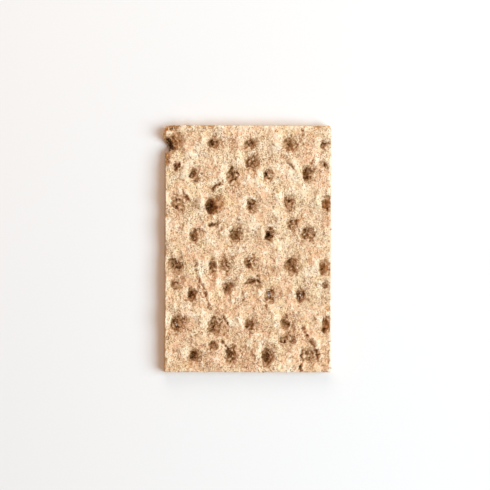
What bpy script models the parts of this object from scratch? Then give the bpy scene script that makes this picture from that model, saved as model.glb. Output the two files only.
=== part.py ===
"""Rye crispbread: one slice of a baked sheet, sawn to size, as a single solid.

The slice lies on its flat underside. Its top is pricked all over with docking holes in
staggered rows, and the corner at -X, +Y has broken open where a hole met the saw cut.
X runs across the slice, Y along it and Z up. The origin is the middle of the underside.
"""

import math

import bmesh
import bpy
from mathutils import Vector, noise

MM = 0.001

# Driving dimensions, in millimetres; the thickness is that of the highest swells
LENGTH = 110.0
WIDTH = 74.0
THICKNESS = 6.8
CORNER_RADIUS = 1.6

# The crust between the holes: slow swells where the dough puffed, and coarse meal on them
SWELL_SIZE = 9.0
SWELL_HEIGHT = 0.7
MEAL_SIZE = 2.6
MEAL_HEIGHT = 0.45

# The saw cuts wander a little
SAW_WANDER = 0.16
SAW_WANDER_SIZE = 5.0

# Docking holes: rows along Y, each hole as (x, width, length, depth). A docking pin drags
# the dough towards +X as the roller turns, so a hole is steep at -X and slopes out at +X.
HOLE_ROWS = (
    (48.2, ((-32.8, 8.8, 8.6, 2.4),)),
    (46.7, ((-35.9, 5.6, 8.2, 3.6), (-14.9, 7.4, 6.8, 3.0), (1.4, 6.6, 6.2, 2.6))),
    (46.3, ((19.4, 8.8, 8.2, 2.8), (34.4, 4.6, 5.4, 2.2))),
    (38.2, ((2.2, 8.2, 8.0, 2.2),)),
    (37.4, ((34.3, 4.6, 5.0, 2.0),)),
    (36.3, ((-31.1, 5.2, 5.0, 2.0),)),
    (33.4, ((27.0, 6.8, 8.8, 3.3),)),
    (32.6, ((-23.6, 6.0, 8.2, 2.4), (-6.6, 6.4, 9.0, 2.8), (9.0, 5.8, 7.0, 3.2))),
    (20.1, ((-30.6, 8.4, 10.0, 2.8), (18.6, 6.2, 8.0, 2.6), (35.9, 5.6, 7.6, 3.0))),
    (19.1, ((-14.4, 9.0, 9.8, 2.3), (1.8, 6.2, 7.8, 2.9))),
    (18.6, ((-16.4, 5.8, 7.2, 4.4),)),
    (10.4, ((-15.8, 3.6, 3.6, 2.0), (-12.9, 8.2, 5.0, 1.6), (20.5, 6.6, 6.4, 1.9))),
    (6.2, ((-23.4, 6.2, 7.8, 3.2), (-5.3, 7.0, 8.4, 2.9), (9.6, 5.4, 7.4, 3.3))),
    (6.4, ((27.0, 7.8, 8.0, 3.0),)),
    (-7.2, ((-31.5, 8.2, 9.0, 2.9), (-15.6, 4.2, 7.2, 2.6), (-9.7, 7.2, 9.0, 2.8))),
    (-6.6, ((1.3, 8.0, 8.0, 2.6),)),
    (-7.6, ((19.9, 8.0, 9.6, 3.1),)),
    (-8.7, ((34.2, 5.4, 7.6, 2.8),)),
    (-15.4, ((-32.0, 5.8, 5.6, 1.5), (2.9, 8.8, 5.8, 2.5))),
    (-17.1, ((-8.6, 6.8, 7.0, 2.7), (34.7, 3.2, 4.0, 1.6))),
    (-20.8, ((-24.7, 6.0, 7.6, 3.0), (10.1, 6.0, 7.6, 3.0), (23.9, 6.0, 7.2, 3.2))),
    (-33.4, ((-31.0, 8.4, 9.0, 2.8), (17.4, 6.8, 7.8, 2.6))),
    (-34.1, ((-14.2, 9.0, 9.6, 3.0), (1.1, 6.6, 7.0, 2.8), (35.5, 5.2, 7.6, 2.8))),
    (-40.4, ((18.3, 8.8, 6.4, 2.2),)),
    (-42.9, ((-15.2, 5.4, 5.2, 2.1),)),
    (-47.6, ((-23.4, 7.4, 8.0, 3.0), (-7.4, 7.0, 9.0, 3.2), (28.0, 9.6, 8.8, 2.3))),
    (-48.1, ((9.0, 7.0, 9.6, 3.2),)),
)
HOLE_LEAN = 0.22
HOLE_ROUGHNESS = 0.18
HOLE_FLOOR = 1.2
CORE_SHARE = 0.6

# Creases where the crust tore as it dried: the points each one runs through
CREASES = (
    ((-12.6, 29.3), (-14.8, 27.6), (-16.4, 24.4)),
    ((-17.2, 15.4), (-18.2, 12.0)),
    ((-23.0, -6.4), (-23.3, -11.1), (-21.6, -14.6), (-18.6, -20.5), (-17.2, -27.5)),
    ((23.6, 53.6), (24.2, 49.7)),
    ((17.6, 39.2), (20.0, 35.7)),
    ((-29.4, 25.2), (-27.0, 21.6)),
    ((-11.0, -30.4), (-7.4, -35.4)),
    ((-14.0, -40.6), (-11.0, -41.8), (-7.6, -44.6)),
    ((26.0, -39.0), (28.2, -41.6), (30.2, -45.1), (31.7, -49.6)),
    ((24.4, -45.6), (23.8, -49.6), (23.4, -54.4)),
)
CREASE_DEPTH = 0.8
CREASE_HALF_WIDTH = 0.9

# Bites out of the cut edges: edge, place along it, width, how far in at the top.
# At the underside they reach in only part of the way.
CHIPS = (
    ("left", 45.9, 5.4, 1.3),
    ("left", 14.6, 1.8, 0.4),
    ("left", -49.6, 1.8, 0.4),
    ("top", -26.3, 2.6, 0.5),
    ("top", -18.0, 6.0, 0.4),
    ("top", 31.0, 3.6, 0.5),
)
CHIP_SHARE_BELOW = 0.8
EDGE_BAND = 12.0

# The mesh: an even net over the top, then thinned where the crust is plain
NET_STEP = 1.0
WALL_RINGS = 4
KEPT_TRIANGLES = 0.22

CRUST_COLOUR = (0.66, 0.45, 0.27, 1.0)
CRUST_ROUGHNESS = 0.9


def wander(x, y, size, layer):
    """Smooth seeded noise between -1 and 1, with bumps about `size` mm across."""
    return noise.noise(Vector((x / size, y / size, layer)))


def hole_depth(x, y, hole_x, hole_y, width, length, depth):
    """How far one docking hole takes the crust down at (x, y)."""
    across, along = 2 * (x - hole_x) / width, 2 * (y - hole_y) / length
    if abs(across) > 1.3 or abs(along) > 1.3:
        return 0.0
    across += HOLE_LEAN
    from_core = math.hypot(across, along)
    # The rim is a unit circle round the hole's middle, measured here from its core.
    turn = HOLE_LEAN * across / max(from_core, 1e-9)
    to_rim = turn + math.sqrt(turn * turn + 1 - HOLE_LEAN**2)
    to_rim *= 1 + HOLE_ROUGHNESS * wander(x, y, 2.2, 7.5)
    share = min(from_core / to_rim, 1.0)
    # A wide bowl, with the deeper core that the pin itself left in it.
    bowl = (1 - share**2) ** 1.3
    core = max(0.0, 1 - (share / CORE_SHARE) ** 2) ** 1.3
    return depth * (0.6 * bowl + 0.4 * core)


def distance_to_line(x, y, start, end):
    """The distance from (x, y) to the straight run between two points."""
    run_x, run_y = end[0] - start[0], end[1] - start[1]
    along = (x - start[0]) * run_x + (y - start[1]) * run_y
    share = min(max(along / (run_x**2 + run_y**2), 0.0), 1.0)
    return math.hypot(x - start[0] - share * run_x, y - start[1] - share * run_y)


def crease_depth(x, y):
    """How far the creases take the crust down at (x, y)."""
    near = min(
        distance_to_line(x, y, start, end)
        for crease in CREASES
        for start, end in zip(crease, crease[1:])
    )
    near += 0.5 * wander(x, y, 1.8, 3.5)
    return CREASE_DEPTH * max(0.0, 1 - max(near, 0.0) / CREASE_HALF_WIDTH)


def crust_height(x, y):
    """The height of the top crust above the underside."""
    height = THICKNESS - 0.35 * (SWELL_HEIGHT + MEAL_HEIGHT)
    height += SWELL_HEIGHT / 2 * wander(x, y, SWELL_SIZE, 0.5)
    height += MEAL_HEIGHT / 2 * wander(x, y, MEAL_SIZE, 1.5)
    drop = max(
        hole_depth(x, y, hole_x, hole_y, width, length, depth)
        for hole_y, holes in HOLE_ROWS
        for hole_x, width, length, depth in holes
    )
    return max(height - max(drop, crease_depth(x, y)), HOLE_FLOOR)


def cut_in(edge, place, chip_share):
    """How far the cut face lies inside the full size at one place along an edge."""
    inset = SAW_WANDER / 2 * (1 + wander(place, 3.0 * len(edge), SAW_WANDER_SIZE, 20.5))
    for chipped, middle, width, depth in CHIPS:
        share = abs(place - middle) * 2 / width
        if chipped == edge and share < 1:
            inset += chip_share * depth * (1 - share**2) ** 0.6
    return inset


def outline_point(across, along, chip_share):
    """The place on the slice of a net point, given from -1 to 1 both ways."""
    x, y = across * WIDTH / 2, along * LENGTH / 2
    # At an edge the net follows its wander and chips, and a band further in it is square.
    from_left, from_right = EDGE_BAND - WIDTH / 2 - x, EDGE_BAND - WIDTH / 2 + x
    from_bottom, from_top = EDGE_BAND - LENGTH / 2 - y, EDGE_BAND - LENGTH / 2 + y
    moved_x = max(from_left, 0) * cut_in("left", y, chip_share)
    moved_x -= max(from_right, 0) * cut_in("right", y, chip_share)
    moved_y = max(from_bottom, 0) * cut_in("bottom", x, chip_share)
    moved_y -= max(from_top, 0) * cut_in("top", x, chip_share)
    return round_corner(x + moved_x / EDGE_BAND, y + moved_y / EDGE_BAND)


def round_corner(x, y):
    """Pulls a point of the outer square corner at +X, +Y back onto a small round."""
    from_x = x - (WIDTH / 2 - CORNER_RADIUS)
    from_y = y - (LENGTH / 2 - CORNER_RADIUS)
    if from_x <= 0 or from_y <= 0:
        return x, y
    shrink = max(from_x, from_y) / math.hypot(from_x, from_y)
    return x - from_x * (1 - shrink), y - from_y * (1 - shrink)


def make_crust_material():
    """Matt floury rye crust."""
    material = bpy.data.materials.new("rye_crust")
    material.use_nodes = True
    shader = material.node_tree.nodes["Principled BSDF"]
    shader.inputs["Base Color"].default_value = CRUST_COLOUR
    shader.inputs["Roughness"].default_value = CRUST_ROUGHNESS
    shader.inputs["Metallic"].default_value = 0.0
    return material


def make_crispbread():
    """A net laid over the top, walls let down from its border, and a flat underside."""
    net = bmesh.new()
    bmesh.ops.create_grid(
        net,
        x_segments=round(WIDTH / NET_STEP),
        y_segments=round(LENGTH / NET_STEP),
        size=1.0,
    )
    down = bmesh.ops.extrude_face_region(net, geom=net.faces[:], use_keep_orig=True)
    below = {item for item in down["geom"] if isinstance(item, bmesh.types.BMVert)}
    for vertex in net.verts:
        if vertex in below:
            x, y = outline_point(vertex.co.x, vertex.co.y, CHIP_SHARE_BELOW)
            vertex.co = Vector((x, y, 0.0)) * MM
        else:
            x, y = outline_point(vertex.co.x, vertex.co.y, 1.0)
            vertex.co = Vector((x, y, crust_height(x, y))) * MM
    walls = [edge for edge in net.edges if (edge.verts[0] in below) != (edge.verts[1] in below)]
    bmesh.ops.subdivide_edges(net, edges=walls, cuts=WALL_RINGS - 1, use_grid_fill=True)
    bmesh.ops.recalc_face_normals(net, faces=net.faces[:])

    mesh = bpy.data.meshes.new("crispbread")
    net.to_mesh(mesh)
    net.free()
    mesh.materials.append(make_crust_material())
    mesh.shade_smooth()
    mesh.set_sharp_from_angle(angle=math.radians(50))
    slice_object = bpy.data.objects.new("crispbread", mesh)
    bpy.context.scene.collection.objects.link(slice_object)

    thin = slice_object.modifiers.new("thin_plain_areas", "DECIMATE")
    thin.ratio = KEPT_TRIANGLES
    return slice_object


for old in list(bpy.data.objects):
    bpy.data.objects.remove(old, do_unlink=True)
make_crispbread()
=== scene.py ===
# %% [markdown]
# # A slice of rye crispbread
# Rye meal, water and salt are whipped to a stiff foam, rolled flat, dusted with flour and
# pricked all over by a roller of blunt pins. The sheet is baked hard and dry, then sawn
# into slices. This lesson models one slice: the pricked crust, the sawn edges with their
# open crumb, the flour and bran on the surface, and a soft studio light to show them.
#
# The slice is already there as a plain solid, which gives its size and place. Loading it
# comes first, and its box gives the sizes below.

# %% Load the plain slice
import math
import random

import bmesh
import bpy
import numpy as np
from mathutils import Euler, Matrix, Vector


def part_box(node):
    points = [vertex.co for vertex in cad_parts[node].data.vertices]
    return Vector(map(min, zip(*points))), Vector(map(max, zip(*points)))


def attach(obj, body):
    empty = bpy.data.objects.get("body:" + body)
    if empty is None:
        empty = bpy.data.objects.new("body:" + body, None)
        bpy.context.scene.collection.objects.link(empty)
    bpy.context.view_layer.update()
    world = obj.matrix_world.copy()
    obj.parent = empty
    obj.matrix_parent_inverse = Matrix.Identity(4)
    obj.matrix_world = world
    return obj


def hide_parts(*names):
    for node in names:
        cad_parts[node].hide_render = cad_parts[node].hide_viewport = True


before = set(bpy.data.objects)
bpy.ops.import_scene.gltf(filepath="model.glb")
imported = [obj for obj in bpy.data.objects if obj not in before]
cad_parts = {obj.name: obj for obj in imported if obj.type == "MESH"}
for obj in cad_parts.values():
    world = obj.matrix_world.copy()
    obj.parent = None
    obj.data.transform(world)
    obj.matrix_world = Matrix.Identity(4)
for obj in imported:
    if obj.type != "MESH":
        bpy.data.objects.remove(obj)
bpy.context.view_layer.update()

LOW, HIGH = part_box("crispbread")
print("plain slice from", LOW[:], "to", HIGH[:])

# %% [markdown]
# ## Sizes
# Everything below is in millimetres, turned into Blender's metres by `MM` at the last
# moment, because sizes on food are easier to judge that way. Width, length and thickness
# are read from the plain slice, so the detailed one can't drift from it. Its highest swell
# sets the thickness, and the level crust lies a little lower.

# %% Name the sizes
MM = 0.001
SWELL_RISE = 0.45
WIDTH = (HIGH.x - LOW.x) / MM
LENGTH = (HIGH.y - LOW.y) / MM
THICKNESS = (HIGH.z - LOW.z) / MM
CRUST = THICKNESS - SWELL_RISE
print(f"slice {WIDTH:.1f} x {LENGTH:.1f} x {THICKNESS:.1f} mm, crust at {CRUST:.2f} mm")

# %% [markdown]
# ## The pin marks
# The roller leaves staggered rows of holes. The dough is soft and uneven, so each hole
# ends up with its own width and depth, and here and there two run together. They could be
# cut with a Boolean, but a pin doesn't cut: it pushes the dough down. So the marks are
# kept as a list of (x, y, width, length, depth), and each is pressed into a net further on.

# %% Lay out the pin marks
HOLES = (
    (-32.6, 47.9, 8.4, 9.7, 2.9), (-36.0, 46.1, 5.2, 8.4, 3.8),
    (-15.4, 46.9, 6.7, 6.4, 3.4), (0.9, 46.7, 6.4, 5.9, 2.8),
    (19.5, 46.9, 9.4, 8.5, 2.5), (34.0, 46.4, 4.6, 6.3, 2.4),
    (-31.2, 36.3, 5.6, 5.1, 2.2), (2.1, 38.5, 8.0, 8.3, 2.8), (34.0, 38.0, 5.6, 5.0, 1.4),
    (-24.0, 32.9, 6.1, 9.0, 2.3), (-6.5, 32.4, 7.3, 10.2, 2.7),
    (9.0, 33.0, 6.1, 6.3, 2.8), (26.8, 33.3, 6.0, 9.1, 3.4),
    (-31.1, 20.2, 7.6, 9.9, 2.5), (-15.0, 19.1, 8.7, 10.8, 2.6), (-16.9, 18.5, 5.6, 7.3, 4.7),
    (1.7, 19.3, 5.9, 7.6, 2.8), (18.8, 20.4, 6.8, 8.5, 2.4), (35.3, 20.2, 5.9, 8.4, 3.6),
    (-12.8, 10.1, 9.7, 4.9, 1.2), (-16.5, 10.6, 3.6, 3.4, 2.0), (20.8, 10.8, 8.1, 7.8, 2.2),
    (-24.1, 5.8, 5.5, 7.3, 3.4), (-5.3, 6.3, 7.4, 7.8, 3.0),
    (9.5, 6.2, 5.0, 8.2, 3.4), (26.9, 6.9, 7.5, 8.1, 2.4),
    (-31.4, -6.9, 9.2, 8.5, 2.9), (-15.7, -7.6, 5.1, 8.4, 3.3), (-9.8, -7.1, 7.4, 8.8, 2.4),
    (1.7, -6.3, 8.4, 9.0, 2.2), (20.2, -7.3, 8.5, 10.5, 2.9), (33.9, -8.1, 5.4, 7.8, 3.2),
    (-32.5, -16.0, 5.1, 5.2, 2.1), (2.9, -14.9, 9.0, 5.8, 2.8), (34.3, -16.6, 3.6, 4.4, 2.2),
    (-8.7, -17.2, 7.1, 6.8, 3.3), (-24.7, -20.7, 5.9, 7.4, 2.9),
    (10.1, -20.9, 6.1, 8.5, 2.4), (23.9, -20.9, 5.6, 6.8, 3.5),
    (-31.1, -33.5, 7.9, 9.1, 3.4), (-14.1, -33.9, 8.3, 10.6, 3.0),
    (1.3, -33.5, 6.8, 7.2, 2.9), (17.0, -32.7, 6.3, 7.2, 2.6), (34.9, -34.2, 4.8, 8.0, 3.1),
    (-15.2, -43.2, 5.7, 4.7, 2.6), (18.1, -40.7, 9.2, 5.8, 2.4),
    (-23.2, -47.7, 7.6, 7.4, 2.9), (-7.2, -46.9, 7.3, 9.2, 3.0),
    (9.1, -48.3, 6.5, 9.7, 3.4), (28.3, -47.5, 9.6, 9.0, 2.4),
)
print(len(HOLES), "pin marks")

# %% [markdown]
# ## A net for the crust
# A grid is the plainest start for a wide, shallow relief: every square is the same size,
# so grain looks the same all over. The net is fine enough to hold a grain of coarse meal.
# It starts a little larger than the slice, like the sheet of dough, and is sawn later.

# %% Add the net
NET_STEP = 0.37
TRIM = 2.0


def deselect_all():
    """Clears the selection, because operators act on all that is selected."""
    bpy.ops.object.select_all(action="DESELECT")


deselect_all()
bpy.ops.mesh.primitive_grid_add(
    x_subdivisions=round((WIDTH + 2 * TRIM) / NET_STEP),
    y_subdivisions=round((LENGTH + 2 * TRIM) / NET_STEP),
    size=1.0,
    location=(0.0, 0.0, CRUST * MM),
)
crust = bpy.context.object
crust.name = "crispbread_slice"
crust.scale = ((WIDTH + 2 * TRIM) * MM, (LENGTH + 2 * TRIM) * MM, 1.0)
bpy.ops.object.transform_apply(location=True, rotation=True, scale=True)
print(crust.name, "has", len(crust.data.vertices), "points")

# %% [markdown]
# ## Pressing like a thumb
# Proportional editing drags the points round the picked ones along with them, less and
# less out to its reach. That is just what dough does round a pin. Two helpers are enough:
# one picks points by number and moves them with a soft edge, and one finds the points in
# an oval of the net and moves those.

# %% Define the pressing helpers
LEAST_HALF = 0.75 * NET_STEP


def places_of(piece):
    """The piece's points as rows of x, y and z in millimetres."""
    flat = np.empty(len(piece.data.vertices) * 3)
    piece.data.vertices.foreach_get("co", flat)
    return flat.reshape(-1, 3) / MM


def pick(numbers):
    """Selects the points with these numbers, and no others."""
    bpy.ops.mesh.select_all(action="DESELECT")
    points = bmesh.from_edit_mesh(bpy.context.object.data).verts
    points.ensure_lookup_table()
    for number in numbers:
        points[number].select_set(True)


def move_softly(numbers, shift, reach, falloff="SMOOTH"):
    """Moves the points with these numbers, and drags along what lies within reach."""
    pick(numbers)
    bpy.ops.transform.translate(
        value=[part * MM for part in shift],
        use_proportional_edit=True,
        proportional_edit_falloff=falloff,
        proportional_size=reach * MM,
    )


def oval(x, y, half_x, half_y):
    """The numbers of the net's points in an oval; it always spans at least one point."""
    across = (net[:, 0] - x) / max(half_x, LEAST_HALF)
    along = (net[:, 1] - y) / max(half_y, LEAST_HALF)
    return np.flatnonzero(across**2 + along**2 < 1)


def press(numbers, sink, reach, falloff="SMOOTH"):
    """Pushes points down; nothing happens where the net has none."""
    if len(numbers):
        move_softly(numbers, (0, 0, -sink), reach, falloff)


net = places_of(crust)
print("net from", net.min(axis=0), "to", net.max(axis=0))

# %% [markdown]
# ## The holes
# A pin drags the dough sideways as the roller turns, so a hole is steep on one side and
# slopes out on the other. One press can't do that. The dough round the hole sags first and
# its steep side swells, then a dish is pressed, then a deep core off to one side of it,
# where the pin's tip went in.

# %% Press the holes
def press_hole(x, y, wide, long, deep):
    """One pin mark: sunk surroundings, a swollen shoulder, a dish and a core."""
    small = min(wide, long)
    wall = 0.38 * small
    sag = oval(x - 0.04 * wide, y, 0.15 * wide, 0.20 * long)
    shoulder = oval(x - 0.74 * wide, y + 0.22 * long, 0, 0.20 * long)
    dish = oval(x - 0.10 * wide, y, 0.56 * wide - wall, 0.58 * long - wall)
    core = oval(x - 0.22 * wide, y, 0.14 * wide, 0.17 * long)
    press(sag, 0.22 * deep, 0.82 * small)
    press(shoulder, -0.28 * deep, 0.48 * small)
    press(dish, 0.50 * deep, wall)
    press(core, 0.34 * deep, 0.24 * small)


bpy.ops.object.mode_set(mode="EDIT")
bpy.ops.mesh.select_mode(type="VERT")
for hole in HOLES:
    press_hole(*hole)
bpy.ops.object.mode_set(mode="OBJECT")
print("deepest point at", round(places_of(crust)[:, 2].min(), 2), "mm above the table")

# %% [markdown]
# ## Ragged floors
# So far each hole is as smooth as a bowl. A real one tore as the pin came out. Small pecks
# of a few sizes are scattered in and round every hole, half of them down and half up. All
# pecks of one size are pressed together, because one call can move many spots at once.

# %% Peck the holes
PECKS = ((0.9, 0.55), (1.4, -0.55), (0.8, -0.50), (1.6, 0.70), (1.0, 0.50), (0.9, -0.45))
PECKS_PER_HOLE = 2
chance = random.Random(11)


def peck_spot(x, y, wide, long):
    """A random place in or just outside an oval hole."""
    turn, out = chance.uniform(0, 2 * math.pi), chance.uniform(0.2, 1.1) / 2
    return oval(x + out * wide * math.cos(turn), y + out * long * math.sin(turn), 0, 0)


bpy.ops.object.mode_set(mode="EDIT")
for reach, sink in PECKS:
    spots = [
        peck_spot(x, y, wide, long)
        for x, y, wide, long, _ in HOLES
        for _ in range(PECKS_PER_HOLE)
    ]
    press(np.concatenate(spots), sink, reach)
bpy.ops.object.mode_set(mode="OBJECT")
print(len(PECKS) * PECKS_PER_HOLE * len(HOLES), "pecks")

# %% [markdown]
# ## Torn creases
# As the sheet dries, the crust tears between holes that stand close, and one lip of the
# tear curls up a little. Each crease is a short run of points. A real tear wanders and
# comes and goes, so each run is cut into short pieces that are nudged aside and pressed
# to different depths, and the lip beside them is lifted.

# %% Tear the creases
CREASES = (
    ((-11.2, 30.6), (-13.2, 28.8), (-15.0, 27.6), (-16.4, 24.0)),
    ((-13.4, 28.6), (-15.4, 26.6)),
    ((-17.2, 15.4), (-18.2, 12.0)),
    ((-23.0, -6.4), (-23.3, -11.1), (-21.6, -14.6), (-18.6, -20.5), (-17.2, -27.5)),
    ((23.6, 53.6), (24.2, 49.7)),
    ((17.6, 39.2), (20.0, 35.7)),
    ((29.0, 39.6), (26.8, 37.0)),
    ((-29.4, 25.2), (-27.0, 21.6)),
    ((-11.0, -30.4), (-7.4, -35.4)),
    ((-14.0, -40.6), (-11.0, -41.8), (-7.6, -44.6)),
    ((24.5, -34.0), (24.9, -37.4)),
    ((26.0, -39.0), (28.2, -41.6), (30.2, -45.1), (31.7, -49.6)),
    ((24.7, -45.6), (23.9, -48.0), (24.4, -50.4), (23.3, -52.6), (23.7, -54.6)),
    ((7.2, -23.4), (8.0, -26.6)),
    ((-3.1, -19.6), (-2.7, -22.8)),
)
TEAR_PIECE = 0.8
TEAR_GAPS = 0.10
TEAR_NUDGE = 0.5
TEAR_DEPTHS = (0.3, 1.5)
TEAR_WIDTH = 1.2
TEAR_SPOT = 0.35
TEAR_REACH = 1.1
LIP_OFFSET = 1.2
LIP_RISES = (0.1, 0.6)
LIP_SPOT = 0.4
LIP_REACH = 1.7
# How near each point lies to a tear, where the paint darkens the crease as painted shade.
crease_shade = np.zeros(len(net))


def tear(start, end):
    """One straight run of a crease, torn in short uneven pieces."""
    start, end = np.array(start), np.array(end)
    run = end - start
    square = np.array((-run[1], run[0])) / np.hypot(*run)
    for share in np.arange(0, 1, TEAR_PIECE / np.hypot(*run)):
        if chance.random() < TEAR_GAPS:
            continue
        spot = start + share * run + chance.uniform(-TEAR_NUDGE, TEAR_NUDGE) * square
        lip = spot + LIP_OFFSET * square
        sink = chance.uniform(*TEAR_DEPTHS)
        press(oval(*spot, TEAR_SPOT, TEAR_SPOT), sink, TEAR_REACH, "SHARP")
        press(oval(*lip, LIP_SPOT, LIP_SPOT), -chance.uniform(*LIP_RISES), LIP_REACH)
        away = np.hypot(net[:, 0] - spot[0], net[:, 1] - spot[1])
        how_torn = sink / TEAR_DEPTHS[1] * np.clip(1.2 - away / TEAR_WIDTH, 0, 1)
        np.maximum(crease_shade, how_torn, out=crease_shade)


bpy.ops.object.mode_set(mode="EDIT")
for crease in CREASES:
    for start, end in zip(crease, crease[1:]):
        tear(start, end)
bpy.ops.object.mode_set(mode="OBJECT")
print(len(CREASES), "creases")

# %% [markdown]
# ## Swells and grain
# Baked dough is never flat. Displace modifiers with cloud textures push the net about at
# several sizes: slow swells between the holes, sideways wander that makes round holes
# irregular, and the grain of the meal. Each is applied, so the mesh itself holds it.
# The floors of the holes get a rougher grain of their own, through a vertex group. No pin
# goes right through the dough, so what came out deepest is squeezed back up a little.

# %% Displace the crust
def cloud(name, size, kind="CLOUDS"):
    """A cloud or pebble texture whose features are about size millimetres across."""
    texture = bpy.data.textures.new(name, kind)
    texture.noise_scale = size * MM
    return texture


def displace(piece, texture, direction, strength, group="", middle=0.5):
    """Pushes the piece's points by a texture, and applies it."""
    push = piece.modifiers.new(texture.name, "DISPLACE")
    push.texture = texture
    push.texture_coords = "LOCAL"
    push.direction = direction
    push.strength = strength * MM
    push.mid_level = middle
    push.vertex_group = group
    bpy.context.view_layer.objects.active = piece
    bpy.ops.object.modifier_apply(modifier=push.name)


def group_points(piece, name, weights):
    """Puts every point with a weight into a new vertex group."""
    group = piece.vertex_groups.new(name=name)
    for number in np.flatnonzero(weights > 0):
        group.add([int(number)], float(weights[number]), "REPLACE")


FLOOR_START = 0.3
FLOOR_DEPTH = 1.6
FLOOR_LEAST = 1.4
SQUEEZE = 0.2

sunk = CRUST - FLOOR_START - places_of(crust)[:, 2]
group_points(crust, "creases", crease_shade)
group_points(crust, "floors", np.clip(sunk / FLOOR_DEPTH, 0, 1))
displace(crust, cloud("torn_floor", 1.3), "Z", 2.3, "floors")
displace(crust, cloud("swell", 7.0), "Z", 2.0)
displace(crust, cloud("lumps", 3.2), "Z", 1.0)
displace(crust, cloud("wander_across", 2.4), "X", 1.9)
displace(crust, cloud("wander_along", 2.7), "Y", 1.9)
displace(crust, cloud("coarse_meal", 1.6), "Z", 0.5)
displace(crust, cloud("pebbles", 0.9, "VORONOI"), "Z", -0.35, middle=0.4)
displace(crust, cloud("fine_meal", 0.5), "Z", 0.9)

bpy.ops.object.mode_set(mode="EDIT")
pick(np.flatnonzero(places_of(crust)[:, 2] < FLOOR_LEAST))
bpy.ops.transform.resize(value=(1, 1, SQUEEZE), center_override=(0, 0, FLOOR_LEAST * MM))
bpy.ops.object.mode_set(mode="OBJECT")
print("crust from", places_of(crust).min(axis=0), "to", places_of(crust).max(axis=0))

# %% [markdown]
# ## Sawing the slice
# The baked sheet is sawn straight through holes and all, so the slice is bisected out of
# the larger net by four upright planes. The trimmed edge is dead straight, and the holes
# that the saw met stay open at it. One of them, near a corner, left so thin a wall that it
# snapped off: three more planes cut only the faces there. A little fraying of the border
# keeps it all from looking machined.

# %% Saw the four edges
FRAY = 0.34
EDGE_STRIP = -32.0
SNAP_LINE = -35.2


def cut_beyond(place, outward):
    """Cuts the picked faces with an upright plane and clears what lies beyond it."""
    bpy.ops.mesh.bisect(
        plane_co=[part * MM for part in place], plane_no=outward, clear_outer=True
    )


def saw(place, outward):
    """Saws the whole sheet along an upright plane."""
    bpy.ops.mesh.select_all(action="SELECT")
    cut_beyond(place, outward)


def snap_off(low, high, place, outward):
    """Breaks away what lies beyond an upright plane, from low to high up the left edge."""
    bpy.ops.mesh.select_all(action="DESELECT")
    for face in bmesh.from_edit_mesh(crust.data).faces:
        middle = face.calc_center_median() / MM
        if middle.x < EDGE_STRIP and low < middle.y < high:
            face.select_set(True)
    cut_beyond(place, outward)


def border_of(piece):
    """The numbers of the points on the open edge of a mesh."""
    uses = {}
    for face in piece.data.polygons:
        for pair in face.edge_keys:
            uses[pair] = uses.get(pair, 0) + 1
    return sorted({number for pair, count in uses.items() if count == 1 for number in pair})


bpy.ops.object.mode_set(mode="EDIT")
for side in (-1, 1):
    saw((side * WIDTH / 2, 0, 0), (side, 0, 0))
    saw((0, side * LENGTH / 2, 0), (0, side, 0))
snap_off(43.6, 45.8, (SNAP_LINE, 45.0, 0), (-1, 0, 0))
snap_off(45.8, 49.0, (SNAP_LINE, 45.8, 0), (-0.75, -0.66, 0))
snap_off(42.2, 43.6, (SNAP_LINE, 43.6, 0), (-0.5, 0.87, 0))
bpy.ops.mesh.select_all(action="SELECT")
bpy.ops.mesh.remove_doubles(threshold=0.08 * MM)
bpy.ops.object.mode_set(mode="OBJECT")

border = border_of(crust)
crust.vertex_groups.new(name="border").add(border, 1.0, "REPLACE")
displace(crust, cloud("fray_across", 0.9), "X", FRAY, "border")
displace(crust, cloud("fray_along", 0.8), "Y", FRAY, "border")
print("sawn, with", len(border), "points round the border")

# %% [markdown]
# ## The sawn sides
# The top is now extruded straight down and flattened onto the table. The tall side faces
# are then divided into rings, so that bites and crumb can be carved into them.
#
# Vertex groups say which points belong to the sides and the underside, so modifiers can
# work on one of them alone. The side points stand right under the border, which tells
# them apart from the steep walls of the holes. The crust itself is denser than the crumb
# between, so the sides weigh less near the top and the bottom.

# %% Let down the sides
WALL_RINGS = 14
CRUST_SKIN = 1.1
SIDE_LEAST = 0.25
ON_TABLE = 0.01

border_places = places_of(crust)[border]
deselect_all()
crust.select_set(True)
bpy.context.view_layer.objects.active = crust
bpy.ops.object.mode_set(mode="EDIT")
bpy.ops.mesh.select_all(action="SELECT")
bpy.ops.mesh.extrude_region_move(TRANSFORM_OT_translate={"value": (0, 0, -CRUST * MM)})
bpy.ops.transform.resize(value=(1, 1, 0), center_override=(0, 0, 0))
bpy.ops.object.mode_set(mode="OBJECT")

under = places_of(crust)[:, 2] < ON_TABLE
bpy.ops.object.mode_set(mode="EDIT")
bpy.ops.mesh.select_mode(type="EDGE")
bpy.ops.mesh.select_all(action="DESELECT")
for edge in bmesh.from_edit_mesh(crust.data).edges:
    one, other = (point.index for point in edge.verts)
    edge.select_set(bool(under[one] != under[other]))
bpy.ops.mesh.subdivide(number_cuts=WALL_RINGS)
bpy.ops.mesh.select_all(action="SELECT")
bpy.ops.mesh.normals_make_consistent(inside=False)
bpy.ops.mesh.select_mode(type="VERT")
bpy.ops.object.mode_set(mode="OBJECT")

top_above = {(round(x, 3), round(y, 3)): z for x, y, z in border_places}


def side_weight(x, y, z):
    """How much a point counts as a side's crumb: less near the top and the bottom."""
    top = top_above.get((round(x, 3), round(y, 3)))
    if top is None or z < ON_TABLE:
        return 0.0
    return min(max(min(z, top - z) / CRUST_SKIN, SIDE_LEAST), 1.0)


group_points(crust, "sides", np.array([side_weight(*place) for place in places_of(crust)]))
group_points(crust, "underside", (places_of(crust)[:, 2] < ON_TABLE).astype(float))
print("with sides:", len(crust.data.polygons), "faces")

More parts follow.
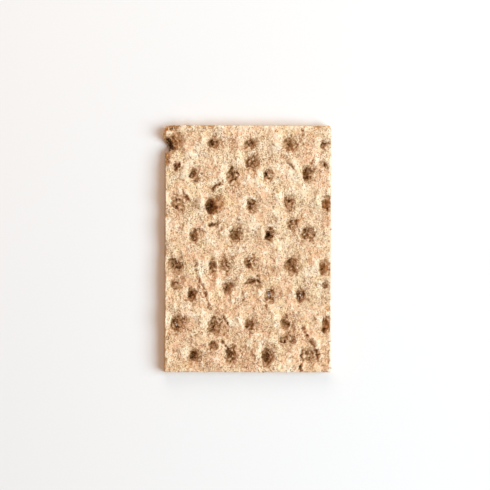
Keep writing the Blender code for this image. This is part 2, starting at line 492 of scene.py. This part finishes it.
# %% [markdown]
# ## The swollen corner and the chipped edges
# Beyond the snapped wall the corner itself is swollen and rounded: its points are pushed
# out and up a little. The crust is brittle, and small bites break away from the sawn edge.
# The points round the top of each bite are pulled inwards and down. Proportional editing
# reaches down the side too, so the broken face slopes out to the foot.

# %% Break the edges
BITES = (
    ((-37.0, 51.8, 3.0), 2.0, (-1.2, 0.0, 0.0), 2.4),
    ((-37.0, 55.0, 3.4), 2.4, (0.8, -0.8, 0.0), 2.2),
    ((-33.8, 54.8, 6.2), 1.7, (0.0, -0.9, -1.4), 1.7),
    ((-36.4, 53.8, 6.0), 1.0, (0.5, -0.2, -1.0), 1.6),
    ((-35.6, 51.6, 6.0), 1.3, (0.0, 0.0, 0.8), 1.6),
    ((-34.6, 50.0, 5.0), 0.9, (0.0, 0.0, 0.7), 1.2),
    ((-37.0, 41.2, 6.2), 1.1, (0.3, 0.0, -1.1), 1.6),
    ((-37.0, 38.6, 6.2), 0.9, (0.4, 0.0, -0.8), 1.4),
    ((-37.0, 14.6, 6.2), 0.5, (0.5, 0.0, -0.3), 1.2),
    ((-37.0, -2.0, 6.2), 0.8, (0.35, 0.0, -0.3), 1.3),
    ((-37.0, -49.6, 6.2), 0.5, (0.5, 0.0, -0.3), 1.2),
    ((-26.6, 55.0, 6.2), 0.7, (0.0, -0.7, -0.5), 1.2),
    ((-20.4, 55.0, 6.2), 1.0, (0.0, -0.6, -0.5), 1.4),
    ((-17.0, 55.0, 6.2), 1.0, (0.0, -0.6, -0.5), 1.4),
    ((30.6, 55.0, 6.2), 1.0, (0.0, -0.7, -0.6), 1.4),
    ((37.0, 55.0, 6.2), 0.8, (-0.6, -0.6, -0.4), 1.5),
    ((37.0, 33.0, 6.2), 0.5, (-0.4, 0.0, -0.3), 1.1),
    ((37.0, -24.0, 6.2), 0.5, (-0.4, 0.0, -0.3), 1.1),
)

net = places_of(crust)
bpy.ops.object.mode_set(mode="EDIT")
for spot, radius, shift, reach in BITES:
    move_softly(np.flatnonzero(np.linalg.norm(net - spot, axis=1) < radius), shift, reach)
bpy.ops.object.mode_set(mode="OBJECT")
print(len(BITES), "bites, widest reach", max(bite[3] for bite in BITES), "mm")

# %% [markdown]
# ## Crumb on the sides, dents below
# A cut face of crispbread is all small holes, the bubbles of the foam. A pebble texture
# pushed inwards on the sides alone carves them. The underside was baked flat on a steel
# band, so its net is thinned and gets shallow dents only, and the faces go where they show.

# %% Carve the crumb
thin = crust.modifiers.new("thin_underside", "DECIMATE")
thin.ratio = 0.62
thin.vertex_group = "underside"
thin.vertex_group_factor = 10.0
bpy.context.view_layer.objects.active = crust
bpy.ops.object.modifier_apply(modifier=thin.name)
displace(crust, cloud("crumb_holes", 1.5, "VORONOI"), "NORMAL", 1.0, "sides", 0.75)
displace(crust, cloud("crumb_grain", 0.6), "NORMAL", 0.45, "sides")
displace(crust, cloud("band_marks", 2.2), "Z", 0.3, "underside", 0.0)
print("thinned to", sum(len(face.vertices) - 2 for face in crust.data.polygons), "triangles")

# %% [markdown]
# ## Numbers for the paint
# Browning and painted shade go with depth: flour stays on the high crust, and the bottom
# of a hole is dark, partly browned and partly painted shade. So each point stores how far
# down it lies, how high the crust swells about it, how far it stands above its neighbours,
# whether it is crumb on a side, how near a tear it is, for painted shade along the crease,
# how scorched, as at the broken places, and where painted deep shade lies at the notch and
# in the deepest cores. One end of the oven is hotter, so one end of the slice is a little
# browner. A painted highlight lies along the sawn rim, on three sides, where the edge
# catches the light. The material reads these numbers as attributes.

# %% Store the numbers
FULL_DEPTH = 3.4
FULL_SWELL = 0.7
CREST_HEIGHT = 0.16
SCORCHED = (
    (-13.4, 19.4, 5.2), (-17.0, 18.8, 3.6), (-17.4, 13.0, 2.8),
    (-34.2, 54.2, 3.8), (-36.8, 41.8, 3.4), (-36.9, 38.0, 2.8), (-33.0, 48.0, 4.4),
    (-38.2, 51.4, 2.6), (-27.0, 54.9, 2.0), (-18.8, 54.9, 3.0), (30.6, 54.9, 2.4),
    (35.6, 20.0, 3.4), (34.6, -8.6, 3.4), (35.4, -34.0, 3.4), (31.0, -1.6, 2.6),
    (-10.0, -35.4, 2.0), (7.7, -13.6, 1.5), (31.2, -46.6, 2.6), (28.2, 38.6, 1.8),
    (-27.6, -20.6, 1.6), (23.2, 13.4, 2.6), (15.6, 14.4, 1.9), (35.6, -26.4, 1.7),
)
# Spots of painted deep shade, near black: the shaded broken face at the notch and the deepest
# cores.
DEEP_SHADE_SPOTS = (
    (-35.6, 48.2, 1.7), (-34.9, 46.5, 2.0), (-34.8, 44.7, 1.8), (-33.6, 53.6, 1.0),
    (-17.1, 18.6, 2.5), (9.4, 6.3, 1.5),
)
HOT_END = 20
HOT_REACH = 50
RIM = 1.3
RIM_DEPTH = 0.15
FAR_RIM = 0.6
NEAR_GAIN = 1.4


def store(piece, name, values):
    """Keeps one number per point under a name that a material can read."""
    layer = piece.data.attributes.new(name, "FLOAT", "POINT")
    layer.data.foreach_set("value", np.asarray(values, np.float32))


def weights_of(piece, name):
    """Every point's weight in a vertex group."""
    index = piece.vertex_groups[name].index
    weights = np.zeros(len(piece.data.vertices))
    for point in piece.data.vertices:
        for member in point.groups:
            if member.group == index:
                weights[point.index] = member.weight
    return weights


def blurred(piece, values, rounds, among):
    """Each point's value, mixed with those of its neighbours among some points only."""
    ends = np.empty(len(piece.data.edges) * 2, int)
    piece.data.edges.foreach_get("vertices", ends)
    ends = ends.reshape(-1, 2)
    one, other = ends[among[ends].all(axis=1)].T
    count = np.bincount(one, minlength=len(values)) + np.bincount(other, minlength=len(values))
    for _ in range(rounds):
        total = np.bincount(one, values[other], len(values))
        total += np.bincount(other, values[one], len(values))
        values = (values + total / np.maximum(count, 1)) / 2
    return values


def near(spots):
    """How close each point is to the nearest of some (x, y, reach) spots, from 0 to 1."""
    closest = np.zeros(len(places))
    for x, y, reach in spots:
        away = np.hypot(places[:, 0] - x, places[:, 1] - y)
        closest = np.maximum(closest, np.clip(NEAR_GAIN * (1 - away / reach), 0, 1))
    return closest


places = places_of(crust)
height = places[:, 2]
side_share = weights_of(crust, "sides")
on_side = side_share > 0
on_under = weights_of(crust, "underside") > 0.5
crusty = ~on_under & (side_share < SIDE_LEAST + 0.01)
depth = np.clip((CRUST - blurred(crust, height, 2, crusty)) / FULL_DEPTH, 0, 1) * crusty
swell = np.clip((blurred(crust, height, 25, crusty) - CRUST) / FULL_SWELL, -1, 1) * crusty
crest = (height - blurred(crust, height, 6, crusty)) / CREST_HEIGHT * crusty
store(crust, "hollow", depth)
store(crust, "swell", swell)
store(crust, "crest", crest)
# Painted shade along the creases.
store(crust, "crease_shade", weights_of(crust, "creases"))
store(crust, "side", blurred(crust, on_side.astype(float), 1, ~on_under))
store(crust, "under", on_under)
store(crust, "scorch", near(SCORCHED))
# Where painted deep shade lies, at the notch and in the deepest cores.
store(crust, "deep_shade", near(DEEP_SHADE_SPOTS))
store(crust, "oven", np.clip((HOT_END - places[:, 1]) / HOT_REACH, 0, 1))
# A painted highlight along the sawn rim on three sides, on shallow crust only.
to_rim = np.minimum(WIDTH / 2 - np.abs(places[:, 0]), LENGTH / 2 + FAR_RIM - places[:, 1])
store(crust, "rim_highlight", np.clip(1.2 - to_rim / RIM, 0, 1) * (depth < RIM_DEPTH) * crusty)
print("hollow points:", int((depth > 0.3).sum()), "side points:", int(on_side.sum()))

# %% [markdown]
# ## The crust's colour
# Rye crust is pale cream where flour lies, tan where it doesn't, speckled with bran, and
# brown in the holes, where painted shade darkens it further. The material is built from
# layers, each a noise of its own size, and everything reads Object coordinates, so the
# pattern stays fixed on the slice.

# %% Define the material helpers
class Paint:
    """A material under construction: each method adds one node and returns its output."""

    def __init__(self, name):
        self.material = bpy.data.materials.new(name)
        self.material.use_nodes = True
        self.nodes = self.material.node_tree.nodes
        self.links = self.material.node_tree.links
        self.shader = self.nodes["Principled BSDF"]
        self.place = self.nodes.new("ShaderNodeTexCoord").outputs["Object"]

    def noise(self, size, detail=2.0, shift=0.0):
        """Noise with features about size millimetres across, from 0 to 1."""
        node = self.nodes.new("ShaderNodeTexNoise")
        node.noise_dimensions = "4D"
        node.inputs["W"].default_value = shift
        node.inputs["Scale"].default_value = 1 / (size * MM)
        node.inputs["Detail"].default_value = detail
        self.links.new(self.place, node.inputs["Vector"])
        return node.outputs["Fac"]

    def stored(self, name):
        """A number stored on the points."""
        node = self.nodes.new("ShaderNodeAttribute")
        node.attribute_name = name
        return node.outputs["Fac"]

    def curve(self, value, low, high, bottom=0.0, top=1.0):
        """Stretches value so that low gives bottom and high gives top, clamped."""
        node = self.nodes.new("ShaderNodeMapRange")
        node.interpolation_type = "SMOOTHSTEP"
        node.inputs["From Min"].default_value = low
        node.inputs["From Max"].default_value = high
        node.inputs["To Min"].default_value = bottom
        node.inputs["To Max"].default_value = top
        self.links.new(value, node.inputs["Value"])
        return node.outputs["Result"]

    def math(self, operation, first, second):
        """Adds, multiplies or otherwise joins two values."""
        node = self.nodes.new("ShaderNodeMath")
        node.operation = operation
        for socket, value in zip(node.inputs, (first, second)):
            self.fill(socket, value)
        return node.outputs[0]

    def mix(self, share, first, second):
        """Blends from the first colour to the second."""
        node = self.nodes.new("ShaderNodeMix")
        node.data_type = "RGBA"
        self.fill(node.inputs["Factor"], share)
        self.fill(node.inputs[6], first)
        self.fill(node.inputs[7], second)
        return node.outputs[2]

    def fill(self, socket, value):
        """Links an output to a socket, or sets a plain number or colour on it."""
        if isinstance(value, bpy.types.NodeSocket):
            self.links.new(value, socket)
        elif isinstance(value, tuple):
            socket.default_value = (*value, 1.0)
        else:
            socket.default_value = value

    def bump(self, height, distance, strength=1.0):
        """Fine relief, distance millimetres from low to high."""
        node = self.nodes.new("ShaderNodeBump")
        node.inputs["Distance"].default_value = distance * MM
        node.inputs["Strength"].default_value = strength
        self.links.new(height, node.inputs["Height"])
        self.links.new(node.outputs["Normal"], self.shader.inputs["Normal"])

    def finish(self, colour, roughness=0.92, gloss=0.2):
        """Sets the colour and the dry, matt surface, and returns the material."""
        self.fill(self.shader.inputs["Base Color"], colour)
        self.shader.inputs["Roughness"].default_value = roughness
        self.shader.inputs["Specular IOR Level"].default_value = gloss
        return self.material


CREAM = (0.94, 0.76, 0.53)
MEAL = (0.78, 0.58, 0.37)
TAN = (0.72, 0.48, 0.28)
TOAST = (0.83, 0.52, 0.30)
PEACH = (0.93, 0.57, 0.36)
STRAW = (0.93, 0.78, 0.46)
FLOUR = (0.98, 0.89, 0.71)
WHITE = (0.92, 0.93, 0.94)
BRAN = (0.335, 0.165, 0.08)
# Brown of the holes, which also stands for their painted shade.
HOLE_BROWN_AND_SHADE = (0.41, 0.20, 0.078)
# Dark brown of the hole cores: the deepest browning and painted shade.
CORE_BROWN_AND_SHADE = (0.13, 0.050, 0.010)
# Near black for painted deep shade.
SHADE_BLACK = (0.045, 0.022, 0.007)
RUST = (0.60, 0.27, 0.09)
CRUMB = (0.74, 0.40, 0.145)
CRUMB_PALE = (0.90, 0.63, 0.33)
print("colours from", SHADE_BLACK, "to", FLOUR)

# %% [markdown]
# ## Painting the crust
# The layers go on from the ground up: meal, peach and floury patches, bran specks with
# painted shade in crevices, a painted highlight on crests and along the rim, then the
# browning and painted shade of the holes and tears, the scorched places, the crumb,
# painted deep shade at the notch and the deepest cores, and the underside last. The
# edges of every layer are broken up by noise, because nothing on a crust ends in a clean
# line.

# %% Paint the mealy crust
def mealy_crust(paint, crest):
    """Meal in cream and tan, browned and peach patches, dusted flour with a painted highlight on
    crests and the rim, specks of bran, and painted shade in crevices.
    """
    oven = paint.stored("oven")
    colour = paint.mix(paint.curve(paint.noise(0.7, 3.0), 0.38, 0.60), MEAL, CREAM)
    # Points lower than their neighbours darken: painted shade in pores and crevices, in bran brown.
    colour = paint.mix(paint.curve(crest, -0.35, -1.4, 0.0, 0.65), colour, BRAN)
    browned = paint.math("ADD", paint.noise(9.0, 1.0, 3.1), paint.math("MULTIPLY", oven, 0.16))
    colour = paint.mix(paint.curve(browned, 0.43, 0.68, 0.0, 0.85), colour, TOAST)
    peachy = paint.curve(paint.noise(7.0, 1.0, 14.5), 0.46, 0.62, 0.0, 0.6)
    colour = paint.mix(peachy, colour, PEACH)
    yellow = paint.curve(paint.noise(8.0, 1.0, 12.4), 0.50, 0.66, 0.0, 0.4)
    colour = paint.mix(yellow, colour, STRAW)

    pale = paint.curve(paint.stored("swell"), -0.5, 0.9, -0.04, 0.075)
    pale = paint.math("ADD", pale, paint.math("MULTIPLY", oven, -0.025))
    pale = paint.math("ADD", pale, 0.015)
    # A painted highlight pales the band along the sawn rim and thins its specks.
    pale = paint.math("ADD", pale, paint.math("MULTIPLY", paint.stored("rim_highlight"), 0.15))
    # Points higher than their neighbours get more flour: partly flour on the peaks, partly a
    # painted highlight.
    dust = paint.math("ADD", paint.noise(2.6, 4.0, 5.7), paint.curve(crest, 0.0, 1.2, 0.0, 0.12))
    dust = paint.math("ADD", dust, pale)
    colour = paint.mix(paint.curve(dust, 0.50, 0.68, 0.0, 0.75), colour, FLOUR)
    region = paint.curve(paint.noise(6.0, 2.0, 6.6), 0.35, 0.65, -0.07, 0.05)
    specks = paint.math("ADD", paint.noise(0.40, 0.0, 9.3), region)
    specks = paint.math("SUBTRACT", specks, pale)
    return paint.mix(paint.curve(specks, 0.585, 0.625, 0.0, 0.9), colour, BRAN)


def browned_and_shaded_holes(paint, colour, crest, blotch):
    """Browning and painted shade that go with depth, with dark cores and pits, and painted shade
    along the tears.
    """
    ragged = paint.math("ADD", paint.stored("hollow"), blotch)
    # Browning and painted shade: deeper points darken to brown.
    colour = paint.mix(paint.curve(ragged, 0.06, 0.46, 0.0, 0.78), colour, HOLE_BROWN_AND_SHADE)
    # Painted shade: low points on the hole floors darken towards the core colour.
    pits = paint.math("MULTIPLY", paint.curve(crest, -0.3, -1.8), paint.curve(ragged, 0.2, 0.5))
    colour = paint.mix(paint.math("MULTIPLY", pits, 0.55), colour, CORE_BROWN_AND_SHADE)
    # Browning and painted shade: the deepest points go dark brown.
    colour = paint.mix(paint.curve(ragged, 0.60, 1.1, 0.0, 0.92), colour, CORE_BROWN_AND_SHADE)
    # Raised crumbs on the hole floors turn cream: partly flour, partly a painted highlight.
    crumbs = paint.math("MULTIPLY", paint.curve(crest, 0.3, 1.6), paint.curve(ragged, 0.9, 0.5))
    colour = paint.mix(paint.math("MULTIPLY", crumbs, 0.6), colour, CREAM)
    # Painted shade along the tears, in hole brown.
    tear = paint.math("ADD", paint.stored("crease_shade"), blotch)
    return paint.mix(paint.curve(tear, 0.30, 0.90, 0.0, 0.5), colour, HOLE_BROWN_AND_SHADE)


print("helpers for the upper crust are ready")

# %% Paint the whole slice
def cut_sides(paint, colour, scorch):
    """Golden crumb on the sawn sides, browner where they are scorched."""
    side = paint.stored("side")
    crumb = paint.mix(paint.curve(paint.noise(0.9, 3.0, 7.7), 0.35, 0.65), CRUMB, CRUMB_PALE)
    crumb = paint.mix(paint.curve(paint.noise(0.5, 1.0, 6.1), 0.62, 0.70, 0.0, 0.6), crumb, BRAN)
    colour = paint.mix(paint.curve(side, 0.35, 0.75), colour, crumb)
    dark_side = paint.math("MULTIPLY", paint.math("MULTIPLY", scorch, side), 0.6)
    return paint.mix(dark_side, colour, HOLE_BROWN_AND_SHADE)


def floury_underside(paint):
    """Browned meal with patches of flour and flecks of bran."""
    base = paint.mix(paint.curve(paint.noise(1.2, 4.0, 8.8), 0.25, 0.75), TAN, CREAM)
    base = paint.mix(paint.curve(paint.noise(6.0, 4.0, 2.9), 0.42, 0.66, 0.0, 0.7), base, FLOUR)
    return paint.mix(paint.curve(paint.noise(0.5, 1.0, 6.1), 0.59, 0.67, 0.0, 0.7), base, BRAN)


def paint_crust():
    """The whole slice: crust, holes, cut crumb and underside in one material."""
    paint = Paint("rye_crust")
    crest = paint.stored("crest")
    blotch = paint.curve(paint.noise(0.9, 3.0, 2.2), 0.3, 0.7, -0.2, 0.2)
    burns = paint.curve(paint.noise(1.4, 3.0, 4.4), 0.35, 0.6)
    scorch = paint.math("MULTIPLY", paint.stored("scorch"), burns)
    # Painted deep shade at the notch and in the deepest cores, with ragged edges.
    deep_shade_mask = paint.math("ADD", paint.stored("deep_shade"), blotch)

    colour = mealy_crust(paint, crest)
    colour = browned_and_shaded_holes(paint, colour, crest, blotch)
    colour = paint.mix(paint.math("MULTIPLY", scorch, 0.7), colour, RUST)
    colour = cut_sides(paint, colour, scorch)
    # Painted shade, near black, on the notch's broken face and in the deepest cores.
    colour = paint.mix(paint.curve(deep_shade_mask, 0.20, 0.70, 0.0, 0.92), colour, SHADE_BLACK)
    colour = paint.mix(paint.stored("under"), colour, floury_underside(paint))
    paint.bump(paint.noise(0.35, 3.0, 1.3), 0.12)
    return paint.finish(colour, gloss=0.08)


crust.data.materials.clear()
crust.data.materials.append(paint_crust())
deselect_all()
crust.select_set(True)
bpy.ops.object.shade_smooth()
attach(crust, "root")
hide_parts("crispbread")
print("crust painted")

# %% [markdown]
# ## Grains and flakes
# What makes rye crust look dry and coarse is what lies on it: grains of meal baked half
# into the crust, flakes of bran, and specks of the flour that was dusted on. Bump alone
# can't show them at the edge or in the light, so they are real little shapes. One shape
# of each kind is modelled from a sphere or a grid whose points are knocked about, with
# only a few faces because it repeats thousands of times.

# %% Model one of each
def finish_pattern(name, roughness, seed):
    """Knocks the points of the new primitive about, and names it."""
    bpy.ops.object.mode_set(mode="EDIT")
    bpy.ops.mesh.select_all(action="SELECT")
    bpy.ops.transform.vertex_random(offset=roughness, uniform=0.6, normal=0.3, seed=seed)
    bpy.ops.object.mode_set(mode="OBJECT")
    bpy.context.object.name = name
    return bpy.context.object


def new_grain(name, roughness, seed):
    """A lumpy grain, one metre across before it is copied at its real size."""
    deselect_all()
    bpy.ops.mesh.primitive_ico_sphere_add(subdivisions=1, radius=0.5)
    return finish_pattern(name, roughness, seed)


def new_flake(name, roughness, seed):
    """A thin bent flake, one metre long before it is copied at its real size."""
    deselect_all()
    bpy.ops.mesh.primitive_grid_add(x_subdivisions=3, y_subdivisions=1, size=1.0)
    flake = finish_pattern(name, roughness, seed)
    flake.modifiers.new("thickness", "SOLIDIFY").thickness = 0.25
    bpy.ops.object.modifier_apply(modifier="thickness")
    return flake


patterns = {
    "meal_grains": new_grain("meal_pattern", 0.10, 3),
    "flour_specks": new_grain("flour_pattern", 0.14, 5),
    "flour_lumps": new_grain("lump_pattern", 0.16, 9),
    "bran_flakes": new_flake("bran_pattern", 0.12, 7),
}
for name, pattern in patterns.items():
    print(name, "pattern has", len(pattern.data.polygons), "faces")

# %% [markdown]
# Copies are then strewn over the crust. Faces are drawn by chance, larger ones more often,
# so the cover is even. Each copy sits on its face, sunk in part, turned by chance about the
# face's normal, and keeps a random tone that the material turns into a colour.

# %% Define the strewing helpers
def draw_seats(draw, count, allowed):
    """Chance seats on the crust: the corners of each one's face, its centre and its axes."""
    crust.data.calc_loop_triangles()
    corners = np.array([triangle.vertices[:] for triangle in crust.data.loop_triangles])
    spots = places_of(crust)[corners]
    cross = np.cross(spots[:, 1] - spots[:, 0], spots[:, 2] - spots[:, 0])
    area = np.linalg.norm(cross, axis=1)
    odds = area * allowed[corners].mean(axis=1)
    chosen = draw.choice(len(odds), count, p=odds / odds.sum())

    shares = draw.dirichlet((1, 1, 1), count)[:, :, None]
    centre = (spots[chosen] * shares).sum(axis=1)
    up = cross[chosen] / area[chosen, None]
    along = np.cross(up, draw.normal(size=(count, 3)))
    along /= np.linalg.norm(along, axis=1)[:, None]
    return corners[chosen], centre, np.stack((along, np.cross(up, along), up), axis=1)


def set_copies(name, centre, size, axes):
    """One new piece that holds a copy of the pattern at every seat."""
    pattern = patterns[name].data
    points = np.array([point.co[:] for point in pattern.vertices])
    faces = np.array([face.vertices[:] for face in pattern.polygons])
    copies = centre[:, None] + np.einsum("pk,ck,ckd->cpd", points, size, axes)
    numbers = faces[None] + len(points) * np.arange(len(centre))[:, None, None]
    copied_faces = numbers.reshape(-1, faces.shape[1]).tolist()

    mesh = bpy.data.meshes.new(name)
    mesh.from_pydata((copies.reshape(-1, 3) * MM).tolist(), [], copied_faces)
    piece = bpy.data.objects.new(name, mesh)
    bpy.context.scene.collection.objects.link(piece)
    return piece


def strew(name, count, sizes, shape, sink, allowed, seed):
    """Strews copies of a pattern over the faces with a weight, as one new piece."""
    draw = np.random.default_rng(seed)
    corners, centre, axes = draw_seats(draw, count, allowed)
    size = draw.uniform(*sizes, (count, 1)) * (np.array(shape) * draw.uniform(0.8, 1.2, (count, 3)))
    centre += axes[:, 2] * size[:, 2:] * (0.5 - sink)
    piece = set_copies(name, centre, size, axes)
    points_each = len(piece.data.vertices) // count
    store(piece, "tone", np.repeat(draw.uniform(size=count), points_each))
    store(piece, "hollow", np.repeat(depth[corners].mean(axis=1), points_each))
    deselect_all()
    piece.select_set(True)
    bpy.context.view_layer.objects.active = piece
    bpy.ops.object.shade_smooth()
    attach(piece, "root")
    print(name, "has", len(piece.data.polygons), "faces")
    return piece


# %% Strew the copies
FOOT = 0.8
SIDE_COVER = 0.3
FALLEN = ((23.6, -20.9, 1.1), (9.2, -20.6, 1.3), (-31.6, -33.4, 1.0), (25.2, 6.4, 0.9))

on_top = (~on_side & ~on_under).astype(float)
dusty = on_top * (1 - 0.8 * depth)
fallen = on_top * near(FALLEN)
anywhere = np.where(height < FOOT, 0.0, np.where(on_side, SIDE_COVER, 1.0))
meal = strew("meal_grains", 6500, (0.42, 0.85), (1.0, 0.75, 0.55), 0.45, anywhere, 21)
flour = strew("flour_specks", 7000, (0.22, 0.48), (1.0, 0.9, 0.7), 0.2, dusty, 22)
bran = strew("bran_flakes", 4400, (0.45, 0.95), (1.0, 0.4, 0.25), 0.3, anywhere, 23)
lumps = strew("flour_lumps", 26, (0.5, 0.9), (1.0, 0.8, 0.7), 0.2, fallen, 24)
for pattern in patterns.values():
    bpy.data.objects.remove(pattern)

# %% [markdown]
# ## The colour of grains and flakes
# The random tone of each copy picks its colour: most meal is cream, some is tan, a little
# is brown. Down in a hole everything has browned and lies in painted shade, so depth
# darkens them. Only the few lumps of flour that fell into holes after the baking stay white.

# %% Paint the grains and flakes
def paint_copies(name, dark, middle, light, dark_share, light_share, browning_and_shade=0.85):
    """A material for strewn copies, which picks one of three colours for each."""
    paint = Paint(name)
    tone = paint.stored("tone")
    colour = paint.mix(paint.curve(tone, dark_share - 0.05, dark_share + 0.05), dark, middle)
    colour = paint.mix(paint.curve(tone, light_share - 0.1, light_share + 0.1), colour, light)
    colour = paint.mix(paint.curve(paint.noise(0.4, 2.0), 0.4, 0.7, 0.0, 0.3), colour, TAN)
    # Browning and painted shade: copies deep in a hole darken to brown.
    browned = paint.curve(paint.stored("hollow"), 0.2, 0.8, 0.0, browning_and_shade)
    colour = paint.mix(browned, colour, HOLE_BROWN_AND_SHADE)
    paint.bump(paint.noise(0.2, 2.0), 0.04)
    return paint.finish(colour)


meal.data.materials.append(paint_copies("meal_grain", BRAN, MEAL, CREAM, 0.10, 0.30))
flour.data.materials.append(paint_copies("flour_speck", CREAM, FLOUR, FLOUR, 0.3, 0.5))
lumps.data.materials.append(paint_copies("flour_lump", FLOUR, FLOUR, WHITE, 0.1, 0.2, 0.1))
bran.data.materials.append(paint_copies("bran_flake", BRAN, MEAL, RUST, 0.55, 0.92))
print("grains and flakes painted")

# %% [markdown]
# ## The table
# The slice lies on a plain pale surface, wide enough to fill the view from any side. It
# only catches the shadow, so a flat sheet with a matt finish is enough. It is no part of
# the slice.

# %% Set the table
deselect_all()
bpy.ops.mesh.primitive_plane_add(size=6.0, location=(0.0, 0.0, 0.0))
table = bpy.context.object
table.name = "pale_table"
table.data.materials.append(Paint("pale_table").finish((0.82, 0.825, 0.83), 0.9, 0.1))
print(table.name, "is", table.dimensions.x, "m wide")

# %% [markdown]
# ## The light
# One large soft light stands to the right, low enough to leave shade in every hole, and a
# weaker one on the far side lightens the shadow there. An even glow fills the rest. It is
# warm, as in a room with wooden tables, and the large light is a little cool, so together
# they leave the table neutral.

# %% Hang the lights
WARM_GLOW = (0.36, 0.21, 0.13, 1.0)


def hang_softbox(name, rise, turn, away, size, power, colour):
    """A square soft light, aimed at the slice from a height angle and a compass angle."""
    rise, turn = math.radians(rise), math.radians(turn)
    level = math.cos(rise)
    ahead = Vector((level * math.cos(turn), level * math.sin(turn), math.sin(rise)))
    facing = (-ahead).to_track_quat("-Z", "Y").to_euler()
    bpy.ops.object.light_add(type="AREA", location=away * ahead, rotation=facing)
    light = bpy.context.object
    light.name = name
    light.data.shape = "SQUARE"
    light.data.size = size
    light.data.energy = power
    light.data.color = colour
    light.visible_camera = False
    print(name, "hangs at", light.location[:])


hang_softbox("key_softbox", 47, -12, 1.5, 1.15, 31.3, (0.71, 0.895, 1.0))
hang_softbox("far_softbox", 42, 96, 0.8, 0.6, 2.3, (1.0, 0.88, 0.76))

world = bpy.data.worlds.new("warm_room")
world.use_nodes = True
glow = world.node_tree.nodes["Background"]
glow.inputs["Color"].default_value = WARM_GLOW
glow.inputs["Strength"].default_value = 1.0
bpy.context.scene.world = world
bpy.context.scene.view_settings.view_transform = "Standard"

# %% [markdown]
# ## The camera
# The camera looks down from nearly straight above. It leans a few degrees to the left, so
# the left cut face just shows. A long lens from far off keeps the sides parallel.

# %% Stand the camera
CAMERA_LEAN = math.radians(4)
CAMERA_TURN = math.radians(0.22)
CAMERA_AWAY = 1.4556
AIM = (-1.47 * MM, 1.68 * MM, CRUST * MM)

pose = Euler((0.0, -CAMERA_LEAN, CAMERA_TURN))
back = pose.to_matrix() @ Vector((0.0, 0.0, 1.0))
bpy.ops.object.camera_add(location=Vector(AIM) + CAMERA_AWAY * back, rotation=pose)
camera = bpy.context.object
camera.name = "overhead_camera"
camera.data.lens = 240
camera.data.sensor_width = 36
bpy.context.scene.camera = camera
print("camera at", camera.location[:])
